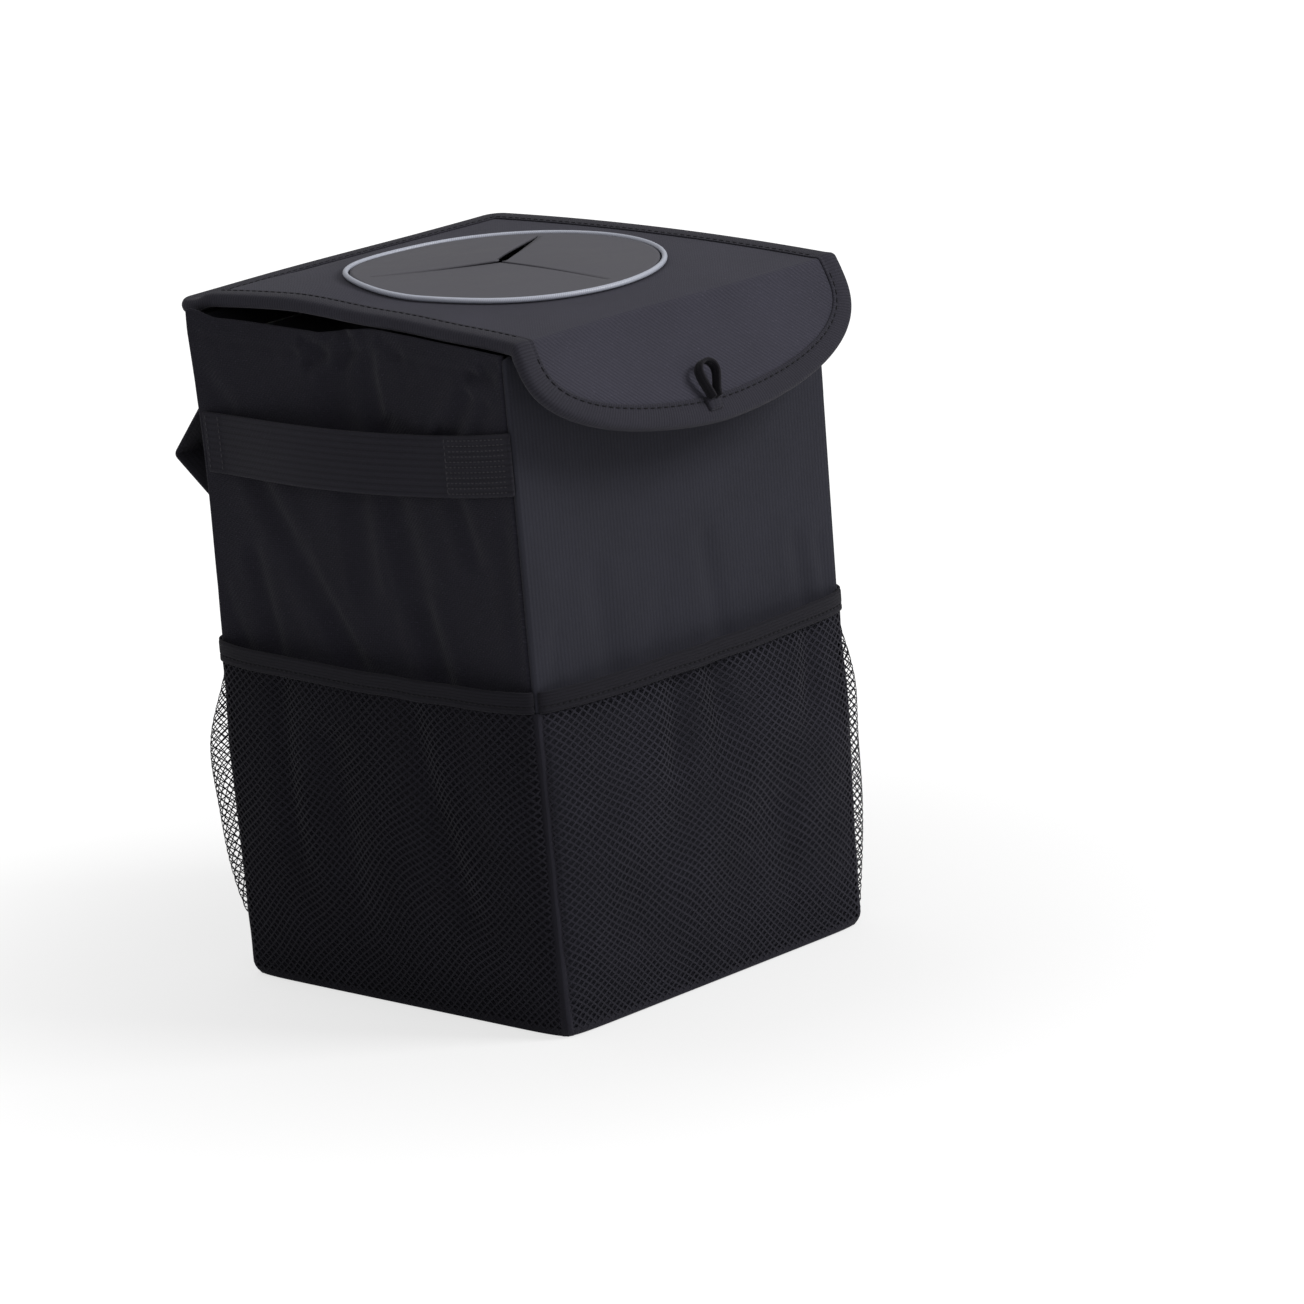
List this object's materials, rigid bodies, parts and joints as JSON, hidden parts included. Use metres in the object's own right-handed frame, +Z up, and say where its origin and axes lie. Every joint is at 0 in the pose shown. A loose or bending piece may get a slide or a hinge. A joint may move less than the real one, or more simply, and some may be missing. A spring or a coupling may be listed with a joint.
{
  "type": "car trash bin",
  "caption": "Square fabric bin with a hinged arched lid, a cut membrane to push rubbish through, a front flap, net pockets and webbing handles.",
  "frame": {"origin": "centre of the lower face of the base", "axes": "+Z up; the front, with the flap, faces -Y; the lid is hinged along +Y"},
  "size_m": [0.183, 0.2063, 0.2513],
  "materials": {
    "wall_fabric": "woven polyester, faint sheen",
    "side_fabric": "soft woven polyester with folds",
    "lid_fabric": "woven polyester, faint sheen",
    "flap_fabric": "diagonal twill",
    "net": "knotless diamond net",
    "pocket_hem": "ribbed elastic band",
    "webbing": "ribbed webbing",
    "binding": "cross-ribbed binding tape",
    "board": "plain sheet",
    "lining": "wipe-clean coated cloth",
    "membrane": "matt, slightly springy sheet",
    "piping": "light grey cord",
    "closure_patch": "hook and loop pile"
  },
  "bodies": {
    "bin": {"base_panel": "wall_fabric", "base_board": "board", "front_board": "board", "back_board": "board", "lining": "lining", "lining_floor": "lining", "front_panel": "wall_fabric", "back_panel": "wall_fabric", "left_panel": "side_fabric", "right_panel": "side_fabric", "front_pocket_net": "net", "left_pocket_net": "net", "right_pocket_net": "net", "back_pocket_net": "net", "front_pocket_hem": "pocket_hem", "left_pocket_hem": "pocket_hem", "right_pocket_hem": "pocket_hem", "back_pocket_hem": "pocket_hem", "left_side_handle": "webbing", "right_side_handle": "webbing", "back_loop_left": "webbing", "back_loop_right": "webbing", "closure_loop_patch": "closure_patch", "lid_hinge_tape": "binding"},
    "lid": {"lid_cover": "lid_fabric", "lid_board": "board", "lid_lining": "lining", "lid_binding": "binding", "membrane": "membrane", "piping_ring": "piping"},
    "flap": {"flap_cover": "flap_fabric", "flap_board": "board", "flap_lining": "lining", "flap_binding": "binding", "pull_loop": "webbing", "closure_hook_patch": "closure_patch"}
  },
  "joints": [
    {"name": "lid_hinge", "type": "hinge", "parent": "bin", "child": "lid", "pos_m": [0, 0.0781, 0.24294], "axis": [-1, 0, 0], "range_deg": [0, 240]},
    {"name": "flap_hinge", "type": "hinge", "parent": "lid", "child": "flap", "pos_m": [0, -0.0826, 0.2427], "axis": [-1, 0, 0], "range_deg": [-28, 150], "stiffness_Nm_per_rad": 0.03, "springref_deg": 4.01}
  ]
}
